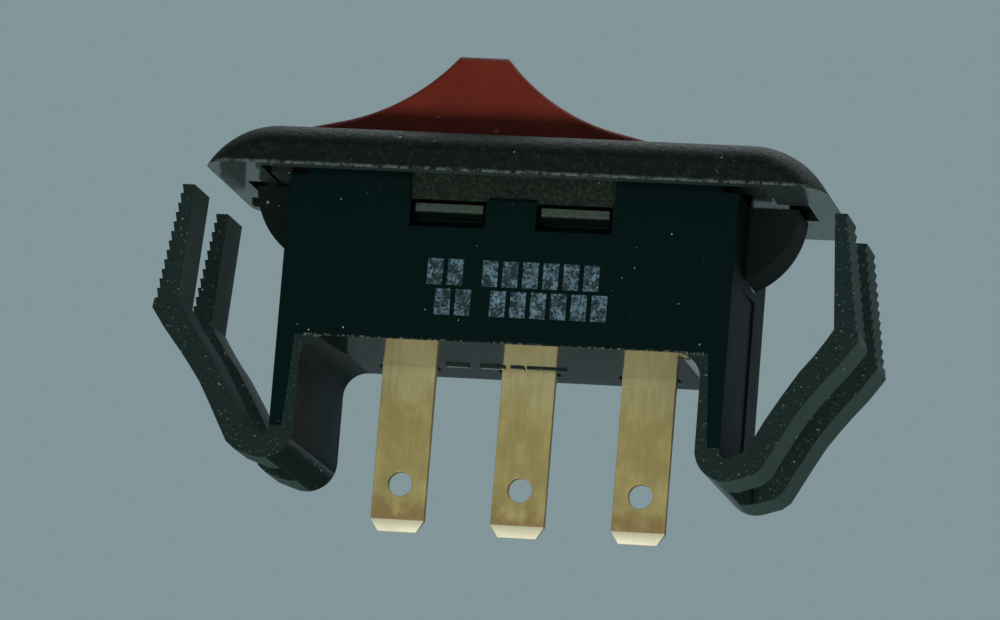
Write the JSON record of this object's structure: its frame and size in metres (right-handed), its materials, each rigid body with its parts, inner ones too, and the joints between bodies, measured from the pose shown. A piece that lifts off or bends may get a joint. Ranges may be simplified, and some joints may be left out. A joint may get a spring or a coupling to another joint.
{
  "type": "snap-in rocker switch",
  "caption": "Snap-in panel rocker switch: a red ridged rocker in a black domed flange, with toothed spring legs and flat push-on tabs below.",
  "frame": {"origin": "centre of the panel plane, under the flange, where the switch sits on the panel's face", "axes": "+X along the flange, -Y is the front side, +Z out of the panel towards the rocker"},
  "size_m": [0.0362, 0.0142, 0.0237],
  "materials": {
    "bezel_black": "fine grain, satin",
    "housing_black": "smooth, glossy",
    "rocker_red": "satin",
    "plunger_white": "smooth",
    "spring_steel": "drawn wire",
    "blade_copper": "rolled strip",
    "contact_silver": "smooth",
    "terminal_brass": "rolled strip, slightly tarnished"
  },
  "bodies": {
    "base": {"bezel": "bezel_black", "housing": "housing_black", "terminal_left": "terminal_brass", "terminal_common": "terminal_brass", "terminal_right": "terminal_brass", "fixed_contact_left": "contact_silver", "fixed_contact_right": "contact_silver"},
    "rocker": {"rocker": "rocker_red", "plunger_spring": "spring_steel"},
    "plunger": {"plunger": "plunger_white"},
    "blade": {"contact_blade": "blade_copper", "moving_contact_left": "contact_silver", "moving_contact_right": "contact_silver"},
    "arm_left_front": {"spring_arm_left_front": "housing_black"},
    "arm_left_back": {"spring_arm_left_back": "housing_black"},
    "arm_right_front": {"spring_arm_right_front": "housing_black"},
    "arm_right_back": {"spring_arm_right_back": "housing_black"}
  },
  "joints": [
    {"name": "rocker_tilt", "type": "hinge", "parent": "base", "child": "rocker", "pos_m": [-0.0024, 0, -0.0005], "axis": [0, 1, 0], "range_deg": [-8.5, 8.5]},
    {"name": "blade_tilt", "type": "hinge", "parent": "base", "child": "blade", "pos_m": [-0.0024, 0, -0.0051], "axis": [0, 1, 0], "range_deg": [-6.4, 6.4]},
    {"name": "plunger_slide", "type": "slide", "parent": "rocker", "child": "plunger", "axis": [0, 0, 1], "range_m": [0, 0.0004], "stiffness_N_per_m": 200, "springref_m": -0.002, "deforming": ["plunger_spring"]},
    {"name": "arm_left_front_flex", "type": "hinge", "parent": "base", "child": "arm_left_front", "pos_m": [-0.01225, -0.0039, -0.0143], "axis": [0, 1, 0], "range_deg": [0, 14], "stiffness_Nm_per_rad": 0.2},
    {"name": "arm_left_back_flex", "type": "hinge", "parent": "base", "child": "arm_left_back", "pos_m": [-0.01225, 0.0039, -0.0143], "axis": [0, 1, 0], "range_deg": [0, 14], "stiffness_Nm_per_rad": 0.2},
    {"name": "arm_right_front_flex", "type": "hinge", "parent": "base", "child": "arm_right_front", "pos_m": [0.01225, -0.0039, -0.0143], "axis": [0, -1, 0], "range_deg": [0, 14], "stiffness_Nm_per_rad": 0.2},
    {"name": "arm_right_back_flex", "type": "hinge", "parent": "base", "child": "arm_right_back", "pos_m": [0.01225, 0.0039, -0.0143], "axis": [0, -1, 0], "range_deg": [0, 14], "stiffness_Nm_per_rad": 0.2}
  ],
  "couplings": [
    {"joint": "blade_tilt", "follows": "rocker_tilt", "ratio": -0.75}
  ]
}
